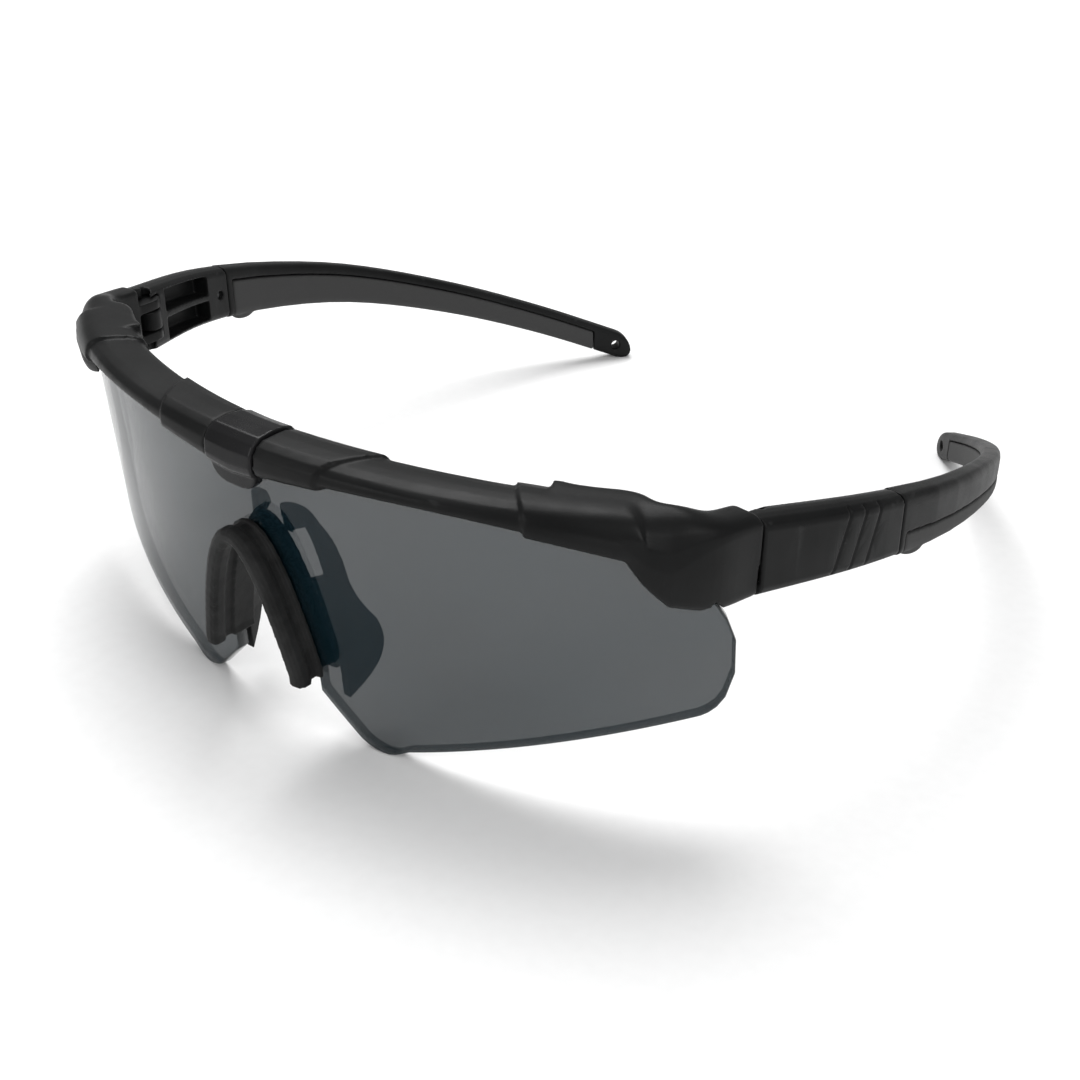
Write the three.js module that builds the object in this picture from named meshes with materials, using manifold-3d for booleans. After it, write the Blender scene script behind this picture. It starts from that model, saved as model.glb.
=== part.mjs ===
// Safety glasses with one wrap-round shield lens, a brow frame, a clip-on nosepiece
// and two folding temples. Millimetres, +Z up, the front faces -Y, the wearer's left is +X.
import * as THREE from 'three';
import { mergeVertices } from 'three/addons/utils/BufferGeometryUtils.js';
import Module from 'manifold-3d';

const wasm = await Module();
wasm.setup();

// ---------------------------------------------------------------- driving dimensions
const GAP = 0.3; // between two pieces that touch
const LENS_HALF_WIDTH = 72.6;
const LENS_THICK = 2.2;
const LENS_CURVE_2 = 4.36e-3; // plan curve of the lens: y = c2 x^2 + c4 x^4
const LENS_CURVE_4 = 1.65e-7;
const LENS_LEAN = 0.0695; // how far the lens goes back for each millimetre down
const LENS_IN_GROOVE = 1.7; // how deep the lens sits in the frame
const LENS_FOOT_X = 22; // the lowest point of each lobe of the lens
const LENS_LOBE_SLOPE = 0.34; // rise of the lower edge towards the temples
const LENS_CORNER_Z = 20; // lower outer corner of the lens

const BROW_LOW_Z = 49; // lower edge of the brow bar at the middle
const BROW_BOW = 2.3; // how much higher the bar is above each eye
const BROW_DROP = 2.65; // how much lower it is at its outer ends
const BROW_TOP_Z = 54.3;
const BROW_TOP_DROP = 2.2; // how much lower its top is at the ends
const BROW_FRONT = 2.2; // the bar stands this far in front of the lens
const BROW_BACK = 7.2; // and this far behind its front face
const BROW_BACK_DIP = -0.45; // its back reaches this share of its height below its front
const SLEEVE_PROUD = 0.55; // the thicker stretches of the bar stand this far out
const SLEEVE_FROM_X = -4; // under the collar, past the middle
const SLEEVE_TO_X = 18.6;
const SLEEVE_SLANT = -0.75; // the steps lean: sideways shift for each millimetre of depth
const SHOULDER_FROM_X = 47;
const SHOULDER_TO_X = 61.5;
const SHOULDER_SLANT = 0.3;
const COLLAR_HALF_WIDTH = 5.1;
const COLLAR_PROUD = 0.8;
const COLLAR_TAB_Z = 45.9;
const COLLAR_SINK = 0.9; // depth of the seat that the bar has for the collar

const WING_LOW_Z = 38.6; // lower edge of the end pieces
const WING_FROM_X = 59.3;
const WING_FULL_X = 64.8;
const WING_THICK = 5.2;
const WING_CORNER_SOFT = 0.57; // at the hinge its rounded top edge narrows to this share
const WING_CORNER_LOW = 0.24; // and its height to this share
const WING_CORNER = 1.1; // how far the corner of the end piece is pushed outwards
const SEAM_Y = 34; // where frame and temple meet
const SEAM_GAP = 0.35;

const NOSE_TOP_Z = 37.6; // the nose cut-out is a parabola under this height
const NOSE_SPREAD = 0.228;
const NOSE_HALF_WIDTH = 10.1; // the legs of the arch run straight down at this width
const NOSE_LEG_Z = 12.6; // where the legs of the nose clip end
const BEAD_WIDTH = 2.9;
const BEAD_FRONT = 5.5; // the bead along the arch stands this far in front of the lens
const BEAD_DEPTH = 2.8;
const BEAD_ROUND = 0.8; // rounding of the bead's front edges
const WEB_INSET = 0.5; // the web between bead and lens is narrower on each side
const CLIP_BACK = 3.6;
const PAD_THICK = 1.8;
const PAD_SPLAY = 0.45;
const PAD_INNER = 1.6; // the pads keep this far from the middle at their tops
const PAD_SLOT_WIDTH = 2.6;
const PAD_SLOT_LENGTH = 8;

const TEMPLE_ROOT_THICK = 5.8;
const TEMPLE_THICK = 3.6;
const TEMPLE_ROOT_HEIGHT = 13.6;
const TEMPLE_TIP_HEIGHT = 6.6;
const TEMPLE_WALL = 1.8;
const TEMPLE_JOIN = 0.21; // where the rear section starts, as a share of the temple's length
// the temple's middle line: x, y and z at the hinge, over the ear and at the tip
const TEMPLE_PATH = [
  [69.8, SEAM_Y, 43],
  [77, 55.5, 39.9],
  [79.6, 77, 35.5],
  [77.2, 99.7, 29.7],
  [69, 124.4, 20.7],
  [58, 143.9, 11.9],
  [43.4, 162.7, 1.9],
];

const KNUCKLE_R = 2.5;
const KNUCKLE_HALF = 1.9; // half the height of the temple's knuckle
const LUG_HEIGHT = 1.9;
const PIVOT_FROM_SEAM = 3.7;
const SCREW_R = 0.8;
const SCREW_HEAD_R = 1.5;
const SCREW_HEAD = 1;
const SCREW_FIT = 0.12;

const TONGUE_LENGTH = 5;
const PIN_R = 0.8;
const LANYARD_R = 1.1;
const LANYARD_FROM_TIP = 4.2;
const GRIP_FROM = TEMPLE_JOIN + 0.012; // where the soft grip starts, as a share of the temple's length
const GRIP_END = 0.93; // and where it stops
const GRIP_OUTER = -0.11; // the grip's upper edge outside, as a share of the temple's height
const GRIP_INNER = 0.26; // and inside
const GRIP_CORE = 0.08; // the grip's inner face, as a share of the temple's thickness

// ---------------------------------------------------------------- helpers
function smooth(from, to, value) {
  return THREE.MathUtils.smoothstep(value, from, to);
}

function solidOf(geometry) {
  const bare = geometry.clone();
  bare.deleteAttribute('normal');
  bare.deleteAttribute('uv');
  const merged = mergeVertices(bare, 1e-4);
  const vertProperties = new Float32Array(merged.attributes.position.array);
  const triVerts = new Uint32Array(merged.index.array);
  return new wasm.Manifold(new wasm.Mesh({ numProp: 3, vertProperties, triVerts }));
}

function geometryOf(solid) {
  const mesh = solid.getMesh();
  const geometry = new THREE.BufferGeometry();
  geometry.setAttribute('position', new THREE.BufferAttribute(new Float32Array(mesh.vertProperties), 3));
  geometry.setIndex(new THREE.BufferAttribute(new Uint32Array(mesh.triVerts), 1));
  geometry.computeVertexNormals();
  return geometry;
}

// moves every vertex of a straight geometry to its place on the curved object
function bend(geometry, place) {
  const position = geometry.attributes.position;
  for (let i = 0; i < position.count; i += 1) {
    const p = place(position.getX(i), position.getY(i), position.getZ(i));
    position.setXYZ(i, p[0], p[1], p[2]);
  }
  return geometry;
}

function mirrored(geometry) {
  const copy = geometry.clone();
  copy.scale(-1, 1, 1);
  const index = copy.index;
  for (let i = 0; i < index.count; i += 3) {
    const first = index.getX(i);
    index.setX(i, index.getX(i + 1));
    index.setX(i + 1, first);
  }
  copy.computeVertexNormals();
  return copy;
}

function box(low, high) {
  const size = high.map((value, i) => value - low[i]);
  const geometry = new THREE.BoxGeometry(size[0], size[1], size[2]);
  geometry.translate((low[0] + high[0]) / 2, (low[1] + high[1]) / 2, (low[2] + high[2]) / 2);
  return solidOf(geometry);
}

function post(x, y, lowZ, highZ, radius, sides = 28) {
  const geometry = new THREE.CylinderGeometry(radius, radius, highZ - lowZ, sides);
  geometry.rotateX(Math.PI / 2);
  geometry.translate(x, y, (lowZ + highZ) / 2);
  return solidOf(geometry);
}

// a prism whose outline is drawn in X and Z, and which runs along Y
function prismXZ(shape, lowY, highY, curveSegments = 10) {
  const depth = highY - lowY;
  const geometry = new THREE.ExtrudeGeometry(shape, { depth, bevelEnabled: false, curveSegments });
  geometry.rotateX(Math.PI / 2);
  geometry.translate(0, highY, 0);
  return solidOf(geometry);
}

// a rounded rectangle about the origin, with a corner radius for each direction
function roundedShape(halfA, halfB, radiusA, radiusB) {
  const points = [];
  for (const [sideA, sideB, start] of [[1, -1, -90], [1, 1, 0], [-1, 1, 90], [-1, -1, 180]]) {
    for (let step = 0; step <= 3; step += 1) {
      const angle = THREE.MathUtils.degToRad(start + 30 * step);
      const a = sideA * (halfA - radiusA) + radiusA * Math.cos(angle);
      const b = sideB * (halfB - radiusB) + radiusB * Math.sin(angle);
      points.push(new THREE.Vector2(a, b));
    }
  }
  return new THREE.Shape(points);
}

function polygon(points) {
  return new THREE.Shape(points.map((p) => new THREE.Vector2(p[0], p[1])));
}

// ---------------------------------------------------------------- the lens surface
function lensY(x, z) {
  return LENS_CURVE_2 * x ** 2 + LENS_CURVE_4 * x ** 4 + LENS_LEAN * (BROW_LOW_Z - z);
}

// the point that lies `depth` behind the front of the lens, square to it
function behindLens(x, depth, z) {
  const slope = 2 * LENS_CURVE_2 * x + 4 * LENS_CURVE_4 * x ** 3;
  const length = Math.hypot(1, slope);
  return [x - (depth * slope) / length, lensY(x, z) + depth / length, z];
}

function browLow(x) {
  const share = Math.abs(x) / WING_FROM_X;
  return BROW_LOW_Z + BROW_BOW * Math.sin(Math.PI * Math.min(share * 0.9, 1)) - BROW_DROP * share ** 4;
}

function browTop(x) {
  return BROW_TOP_Z - BROW_TOP_DROP * (Math.abs(x) / LENS_HALF_WIDTH) ** 2.5;
}

function noseEdge(z) {
  return Math.min(Math.sqrt(Math.max(NOSE_TOP_Z - z, 0) / NOSE_SPREAD), NOSE_HALF_WIDTH);
}

// the right half of the nose arch from its leg to its top, moved outwards by `shift`
function nosePoints(shift, legZ) {
  const kneeZ = NOSE_TOP_Z - NOSE_SPREAD * NOSE_HALF_WIDTH ** 2;
  const points = [[NOSE_HALF_WIDTH + shift, legZ]];
  const steps = 9;
  for (let i = 0; i <= steps; i += 1) {
    const x = NOSE_HALF_WIDTH * (1 - i / steps);
    const lean = Math.atan(2 * NOSE_SPREAD * x) * (i === 0 ? 1.08 : 1);
    const z = i === 0 ? kneeZ : NOSE_TOP_Z - NOSE_SPREAD * x ** 2;
    points.push([x + shift * Math.sin(lean), z + shift * Math.cos(lean)]);
  }
  return points;
}

// half of the lens outline from the top centre round to the nose, then its mirror image:
// `grow` moves it outwards, which gives the frame's groove and the nose clip's slot.
function lensShape(grow) {
  const outer = LENS_HALF_WIDTH + grow;
  const lobeLow = (x) => LENS_LOBE_SLOPE * (x - LENS_FOOT_X) + 0.4 - grow;
  const shape = new THREE.Shape();
  shape.moveTo(0, browLow(0) + LENS_IN_GROOVE + grow);
  for (let x = 6; x <= 60; x += 6) {
    shape.lineTo(x, browLow(x) + LENS_IN_GROOVE + grow);
  }
  shape.quadraticCurveTo(65 + grow, 47 + grow, 67 + grow, 42);
  shape.quadraticCurveTo(71.6 + grow, 38, outer, 30);
  shape.quadraticCurveTo(outer, LENS_CORNER_Z - 1.5, 68 + grow * 0.7, lobeLow(68) + 1);
  shape.quadraticCurveTo(50, lobeLow(50) + 0.1, LENS_FOOT_X + 3.4, lobeLow(LENS_FOOT_X + 3.4));
  shape.quadraticCurveTo(LENS_FOOT_X, -1.6 - grow, LENS_FOOT_X - 4.6, 1.5 - grow);
  shape.lineTo(NOSE_HALF_WIDTH - grow, 8.8 - grow);
  for (const [x, z] of nosePoints(-grow, 11)) {
    shape.lineTo(x, z);
  }
  const points = shape.getPoints(8);
  const left = points.slice(1, -1).reverse().map((p) => new THREE.Vector2(-p.x, p.y));
  return new THREE.Shape(points.concat(left));
}

// a curved sheet that follows the lens, between two depths behind its front face
function lensSheet(lowDepth, highDepth, halfWidth, lowZ, highZ) {
  const geometry = new THREE.BoxGeometry(2 * halfWidth, highDepth - lowDepth, highZ - lowZ, 56, 1, 1);
  geometry.translate(0, (lowDepth + highDepth) / 2, (lowZ + highZ) / 2);
  return solidOf(bend(geometry, (x, depth, z) => behindLens(x, depth, z)));
}

// a cutter whose walls stand square to the lens all the way round
function squarePrism(shape) {
  const settings = { depth: 60, bevelEnabled: false, curveSegments: 8 };
  const geometry = new THREE.ExtrudeGeometry(shape, settings);
  return solidOf(bend(geometry, (x, z, along) => {
    const slope = 2 * LENS_CURVE_2 * x + 4 * LENS_CURVE_4 * x ** 3;
    const y = 45 - along;
    return [x - (y - lensY(x, z)) * slope, y, z];
  }));
}

function makeLens(grow) {
  const sheet = lensSheet(-grow, LENS_THICK + grow, LENS_HALF_WIDTH + 4, -4, 60);
  return sheet.intersect(squarePrism(lensShape(grow)));
}

// ---------------------------------------------------------------- the brow frame
function browShape(proud) {
  const shape = new THREE.Shape();
  const front = -(BROW_FRONT + proud);
  const back = BROW_BACK + proud;
  shape.moveTo(front + 1.1, 0);
  shape.quadraticCurveTo(front, 0.02, front, 0.3);
  shape.quadraticCurveTo(front + 0.1, 0.86, front + 3, 0.98);
  shape.quadraticCurveTo(back - 3.4, 1.06, back - 1.1, 0.86);
  shape.quadraticCurveTo(back, 0.7, back, 0.3);
  shape.quadraticCurveTo(back - 0.1, BROW_BACK_DIP, back - 2.2, BROW_BACK_DIP);
  shape.lineTo(LENS_THICK + 1, BROW_BACK_DIP * 0.7);
  shape.lineTo(LENS_THICK - 0.4, 0);
  shape.closePath();
  return shape;
}

// a stretch of the brow bar from one x to another; `slant` leans its ends
function browStretch(fromX, toX, proud, steps, slant = 0) {
  const shape = browShape(proud);
  const settings = { depth: toX - fromX, steps, bevelEnabled: false, curveSegments: 3 };
  const geometry = new THREE.ExtrudeGeometry(shape, settings);
  return solidOf(bend(geometry, (depth, share, along) => {
    const sign = fromX + toX < 0 ? -1 : 1;
    const x = fromX + along - sign * slant * depth;
    const low = browLow(Math.min(Math.abs(x), WING_FROM_X + 3)) - proud;
    const high = browTop(x) + proud;
    return behindLens(x, depth, low + share * (high - low));
  }));
}

// the middle line of the end piece: along the bar, round the corner and into the temple
function wingLine(root) {
  const middle = WING_THICK / 2 - BROW_FRONT - SLEEVE_PROUD;
  const points = [50, 55, 60, 64].map((x) => behindLens(x, middle, BROW_LOW_Z));
  points.push([(64 + root.x) / 2 + WING_CORNER, (points[3][1] + SEAM_Y) / 2 - WING_CORNER / 2]);
  points.push([root.x, SEAM_Y]);
  points.push([root.x + root.tx * 4, SEAM_Y + root.ty * 4]);
  return new THREE.CatmullRomCurve3(points.map((p) => new THREE.Vector3(p[0], p[1], 0)));
}

// its section, in shares of the thickness and the height, with a well rounded outer top edge
function wingShape() {
  const shape = new THREE.Shape();
  shape.moveTo(0.5, 0.1);
  shape.quadraticCurveTo(0.5, 0, 0.3, 0);
  shape.lineTo(-0.15, 0);
  shape.quadraticCurveTo(-0.42, 0, -0.44, 0.12);
  shape.lineTo(-0.5, 0.42);
  shape.quadraticCurveTo(-0.48, 0.92, 0.2, 1);
  shape.lineTo(0.3, 1);
  shape.quadraticCurveTo(0.5, 1, 0.5, 0.92);
  shape.closePath();
  return shape;
}

// the end piece that carries the hinge, on the wearer's left
function makeWing(pivot) {
  const root = templeFrame(0);
  const line = wingLine(root);
  const rootLow = root.z - root.height / 2;
  const rootTop = root.z + root.height / 2;
  const settings = { depth: 1, steps: 30, bevelEnabled: false, curveSegments: 4 };
  const geometry = new THREE.ExtrudeGeometry(wingShape(), settings);
  let wing = solidOf(bend(geometry, (across, up, along) => {
    const p = line.getPointAt(along);
    const t = line.getTangentAt(along);
    const onBar = Math.min(p.x, WING_FROM_X + 3);
    const toSeam = smooth(WING_FULL_X - 1, root.x, p.x);
    const edge = browLow(onBar) + 0.4;
    const drop = THREE.MathUtils.clamp((p.x - WING_FROM_X) / (WING_FULL_X - WING_FROM_X), 0, 1);
    const low = THREE.MathUtils.lerp(edge, WING_LOW_Z, drop) + (rootLow - WING_LOW_Z) * toSeam;
    const high = THREE.MathUtils.lerp(browTop(p.x) + SLEEVE_PROUD, rootTop, smooth(WING_FULL_X + 1, root.x + 1.4, p.x));
    // it starts as deep as the bar and thins towards the hinge, all on its inner side
    const extra = (BROW_BACK + 2 * SLEEVE_PROUD + BROW_FRONT - WING_THICK) * (1 - smooth(WING_FROM_X, root.x, p.x));
    const thick = THREE.MathUtils.lerp(WING_THICK, root.thick, toSeam);
    const onEdge = up > 0.4 && across < 0.25 ? toSeam : 0;
    const aside = THREE.MathUtils.lerp(across, (across + 0.5) * WING_CORNER_SOFT - 0.5, onEdge);
    const rise = THREE.MathUtils.lerp(up, 1 - (1 - up) * WING_CORNER_LOW, onEdge);
    const inwards = aside * thick + (aside + 0.5) * extra;
    return [p.x - t.y * inwards, p.y + t.x * inwards, low + rise * (high - low)];
  }));
  wing = wing.subtract(box([40, SEAM_Y, 0], [100, SEAM_Y + 20, 80]));
  const top = root.z + KNUCKLE_HALF + GAP + LUG_HEIGHT;
  const low = root.z - KNUCKLE_HALF - GAP - LUG_HEIGHT;
  const levels = [[low, root.z - KNUCKLE_HALF - GAP], [root.z + KNUCKLE_HALF + GAP, top]];
  for (const [from, to] of levels) {
    wing = wing.add(post(pivot.x, pivot.y, from, to, KNUCKLE_R));
    wing = wing.add(box([pivot.x - KNUCKLE_R, SEAM_Y - 2, from], [pivot.x + KNUCKLE_R, pivot.y, to]));
  }
  wing = wing.subtract(post(pivot.x, pivot.y, low - 1, top - 0.8, SCREW_R + SCREW_FIT));
  wing = wing.subtract(post(pivot.x, pivot.y, low - 1, low + SCREW_HEAD + 0.2, SCREW_HEAD_R + SCREW_FIT));
  return wing;
}

// ---------------------------------------------------------------- the temples
const templeLine = new THREE.CatmullRomCurve3(TEMPLE_PATH.map((p) => new THREE.Vector3(...p)));

// place, outward direction, thickness and height of the temple at a share of its length
function templeFrame(share) {
  const p = templeLine.getPointAt(THREE.MathUtils.clamp(share, 0, 1));
  const t = templeLine.getTangentAt(THREE.MathUtils.clamp(share, 0, 1));
  const length = Math.hypot(t.x, t.y);
  const thick = THREE.MathUtils.lerp(TEMPLE_ROOT_THICK, TEMPLE_THICK, smooth(0, 0.5, share));
  const fall = 1 - (1 - share) ** 1.8;
  const height = THREE.MathUtils.lerp(TEMPLE_ROOT_HEIGHT, TEMPLE_TIP_HEIGHT, fall);
  return { x: p.x, y: p.y, z: p.z, nx: t.y / length, ny: -t.x / length, tx: t.x, ty: t.y, tz: t.z, thick, height };
}

// a sweep along the temple; the section is in shares of the thickness (inwards) and height
function templeSweep(shape, from, to, steps, endRound = 0) {
  const geometry = new THREE.ExtrudeGeometry(shape, { depth: 1, steps, bevelEnabled: false });
  const length = templeLine.getLength();
  return solidOf(bend(geometry, (across, up, along) => {
    const eased = endRound > 0 ? Math.sin((along * Math.PI) / 2) ** 0.8 : along;
    const share = from + (to - from) * eased;
    const f = templeFrame(share);
    const left = Math.max((to - share) * length, 0);
    const shrink = left < endRound ? Math.sqrt(1 - (1 - left / endRound) ** 2) * 0.9 + 0.1 : 1;
    const a = across * f.thick;
    const b = up * f.height * shrink;
    return [f.x - f.nx * a, f.y - f.ny * a, f.z + b];
  }));
}

// the tongue of the rear section, in shares of the thickness and height; `grow` is its clearance
function tongueSection(grow) {
  return polygon([[-0.14 - grow, -0.2 - grow], [0.14 + grow, -0.2 - grow], [0.14 + grow, 0.24 + grow],
    [-0.14 - grow, 0.24 + grow]]);
}

function templeShare(millimetres) {
  return millimetres / templeLine.getLength();
}

// a cross pin through socket and tongue, square to the temple
function crossPin(share, radius, fromAcross, toAcross, sides = 20) {
  const f = templeFrame(share);
  const geometry = new THREE.CylinderGeometry(radius, radius, toAcross - fromAcross, sides);
  geometry.rotateZ(-Math.PI / 2);
  geometry.translate((fromAcross + toAcross) / 2, 0, 0);
  geometry.rotateZ(Math.atan2(f.ny, f.nx));
  geometry.translate(f.x, f.y, f.z);
  return solidOf(geometry);
}

function makeTempleFront(pivot) {
  let solid = templeSweep(roundedShape(0.5, 0.5, 0.4, 0.14), 0, TEMPLE_JOIN, 8);
  solid = solid.subtract(box([40, SEAM_Y - 10, 10], [100, SEAM_Y + SEAM_GAP, 60]));
  const channelFrom = templeShare(pivot.y + KNUCKLE_R + 2 - SEAM_Y);
  const channelTo = TEMPLE_JOIN - templeShare(TONGUE_LENGTH + 1.6);
  const wall = 0.5 - TEMPLE_WALL / TEMPLE_ROOT_THICK;
  for (const [low, high] of [[-0.4, -0.05], [0.05, 0.4]]) {
    const channel = polygon([[-wall, low], [0.7, low], [0.7, high], [-wall, high]]);
    solid = solid.subtract(templeSweep(channel, channelFrom, channelTo, 5));
  }
  const z = pivot.z;
  const top = z + KNUCKLE_HALF + 2 * GAP + LUG_HEIGHT;
  const low = z - KNUCKLE_HALF - 2 * GAP - LUG_HEIGHT;
  const reach = KNUCKLE_R + GAP;
  for (const [from, to] of [[low, z - KNUCKLE_HALF], [z + KNUCKLE_HALF, top]]) {
    solid = solid.subtract(post(pivot.x, pivot.y, from, to, reach));
    solid = solid.subtract(box([pivot.x - 9, SEAM_Y - 5, from], [pivot.x + reach, pivot.y, to]));
    solid = solid.subtract(box([pivot.x - 9, SEAM_Y - 5, from], [pivot.x, pivot.y + reach, to]));
  }
  // the inner front corner is cut back so that only the round knuckle is beside the frame
  solid = solid.subtract(box([pivot.x - 9, SEAM_Y - 5, z - 20], [pivot.x, pivot.y, z + 20]));
  solid = solid.add(post(pivot.x, pivot.y, z - KNUCKLE_HALF, z + KNUCKLE_HALF, KNUCKLE_R));
  solid = solid.subtract(post(pivot.x, pivot.y, z - 9, z + 9, SCREW_R + SCREW_FIT));
  const socketFrom = TEMPLE_JOIN - templeShare(TONGUE_LENGTH + GAP);
  solid = solid.subtract(templeSweep(tongueSection(0.06), socketFrom, TEMPLE_JOIN + 0.02, 4));
  return solid.subtract(crossPin(pinShare(), PIN_R + SCREW_FIT, -6, 1.6));
}

function pinShare() {
  return TEMPLE_JOIN - templeShare(TONGUE_LENGTH / 2);
}

// the hard upper part of the rear section, with its tongue and the lanyard hole
function makeTempleRear() {
  const start = TEMPLE_JOIN + templeShare(GAP);
  let solid = templeSweep(roundedShape(0.5, 0.5, 0.25, 0.16), start, 1, 32, 3.6);
  const grip = [[-0.7, GRIP_OUTER], [GRIP_CORE, GRIP_OUTER], [GRIP_CORE, GRIP_INNER], [0.7, GRIP_INNER],
    [0.7, -0.9], [-0.7, -0.9]];
  solid = solid.subtract(templeSweep(polygon(grip), GRIP_FROM, GRIP_END, 26));
  const tongue = templeSweep(tongueSection(0), TEMPLE_JOIN - templeShare(TONGUE_LENGTH), GRIP_FROM - 0.004, 4);
  solid = solid.add(tongue).subtract(crossPin(pinShare(), PIN_R + SCREW_FIT, -6, 6));
  return solid.subtract(crossPin(1 - templeShare(LANYARD_FROM_TIP), LANYARD_R, -8, 8));
}

// the soft lower part, which wraps the inner face, with a small bump under its front end
function makeTempleGrip() {
  const gapA = GAP / TEMPLE_THICK;
  const gapB = GAP / TEMPLE_ROOT_HEIGHT * 1.6;
  const cut = [[-0.7, GRIP_OUTER - gapB], [GRIP_CORE + gapA, GRIP_OUTER - gapB],
    [GRIP_CORE + gapA, GRIP_INNER - gapB], [0.7, GRIP_INNER - gapB], [0.7, -0.9], [-0.7, -0.9]];
  const from = GRIP_FROM + templeShare(GAP);
  const to = GRIP_END - templeShare(GAP);
  const outer = templeSweep(roundedShape(0.5, 0.5, 0.25, 0.16), TEMPLE_JOIN, 1, 32, 3.6);
  let solid = outer.intersect(templeSweep(polygon(cut), from, to, 26));
  const f = templeFrame(GRIP_FROM + templeShare(5));
  const bump = new THREE.SphereGeometry(1, 20, 12);
  bump.scale(f.thick * 0.42, 3.1, 1.6);
  bump.rotateZ(Math.atan2(f.ty, f.tx) - Math.PI / 2);
  bump.translate(f.x, f.y, f.z - f.height * 0.47);
  return solid.add(solidOf(bump));
}

// a screw or pin with a slotted head at its lower end
function makeHingeScrew(pivot) {
  const low = pivot.z - KNUCKLE_HALF - GAP - LUG_HEIGHT;
  const top = pivot.z + KNUCKLE_HALF + GAP + LUG_HEIGHT;
  let screw = post(pivot.x, pivot.y, low + 0.2, low + SCREW_HEAD, SCREW_HEAD_R);
  screw = screw.add(post(pivot.x, pivot.y, low + 0.5, top - 1, SCREW_R));
  return screw.subtract(box([pivot.x - 2, pivot.y - 0.2, low - 1], [pivot.x + 2, pivot.y + 0.2, low + 0.5]));
}

function makeTemplePin() {
  return crossPin(pinShare(), PIN_R, -1.6, 1.3);
}

// ---------------------------------------------------------------- collar and nosepiece
// the clasp round the middle of the bar, with a rounded tab in front of the lens
function collarSleeve(proud, halfWidth) {
  const settings = { depth: 2 * halfWidth, steps: 6, bevelEnabled: false, curveSegments: 3 };
  return solidOf(bend(new THREE.ExtrudeGeometry(browShape(proud), settings), (depth, share, along) => {
    const x = along - halfWidth;
    const low = browLow(x) - proud;
    const high = browTop(x) + proud;
    return behindLens(x, depth, low + share * (high - low));
  }));
}

function makeCollar() {
  const tab = new THREE.Shape();
  tab.moveTo(-COLLAR_HALF_WIDTH, BROW_LOW_Z + 1);
  tab.lineTo(-COLLAR_HALF_WIDTH, BROW_LOW_Z - 0.4);
  tab.bezierCurveTo(-4.4, COLLAR_TAB_Z, -2.6, COLLAR_TAB_Z, 0, COLLAR_TAB_Z);
  tab.bezierCurveTo(2.6, COLLAR_TAB_Z, 4.4, COLLAR_TAB_Z, COLLAR_HALF_WIDTH, BROW_LOW_Z - 0.4);
  tab.lineTo(COLLAR_HALF_WIDTH, BROW_LOW_Z + 1);
  const front = lensSheet(-BROW_FRONT, -GAP, COLLAR_HALF_WIDTH + 1, 30, 60);
  const sleeve = collarSleeve(COLLAR_PROUD, COLLAR_HALF_WIDTH).add(front.intersect(prismXZ(tab, -20, 40, 6)));
  return sleeve.subtract(collarSleeve(GAP - COLLAR_SINK, COLLAR_HALF_WIDTH + 2)).subtract(makeLens(GAP));
}

// the ring-shaped seat that the collar needs in the bar
function collarSeat() {
  const around = box([-COLLAR_HALF_WIDTH - GAP, -12, 40], [COLLAR_HALF_WIDTH + GAP, 24, 64]);
  return around.subtract(collarSleeve(-COLLAR_SINK, COLLAR_HALF_WIDTH + 2));
}

// the region under the nose arch, with its curve moved outwards by `shift`
function archPrism(shift, lowZ) {
  const right = nosePoints(shift, lowZ).slice(0, -1);
  const left = right.map((p) => [-p[0], p[1]]).reverse();
  return prismXZ(polygon([...right, [0, NOSE_TOP_Z + shift], ...left]), -20, 40);
}

// a stretch of the nose arch between two depths behind the lens front
function archRing(fromDepth, toDepth, inset, legZ) {
  const outer = archPrism(BEAD_WIDTH / 2 - inset, legZ);
  const inner = archPrism(inset - BEAD_WIDTH / 2, legZ - 2);
  return lensSheet(fromDepth, toDepth, 30, -2, 46).intersect(outer.subtract(inner));
}

// the arch that grips the edge of the nose cut-out, in front of and behind the lens
function makeNoseClip() {
  const beadBack = BEAD_DEPTH - BEAD_FRONT;
  let clip = archRing(BEAD_ROUND - BEAD_FRONT, CLIP_BACK, WEB_INSET, NOSE_LEG_Z + 0.4);
  clip = clip.add(archRing(-BEAD_FRONT, CLIP_BACK, BEAD_ROUND, NOSE_LEG_Z + 0.2));
  clip = clip.add(archRing(BEAD_ROUND / 3 - BEAD_FRONT, beadBack, BEAD_ROUND / 3, NOSE_LEG_Z));
  clip = clip.add(archRing(BEAD_ROUND - BEAD_FRONT, beadBack - BEAD_ROUND / 2, 0, NOSE_LEG_Z));
  clip = clip.add(archRing(-LENS_THICK / 2, CLIP_BACK, 0, NOSE_LEG_Z));
  return clip.subtract(makeLens(GAP));
}

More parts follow.
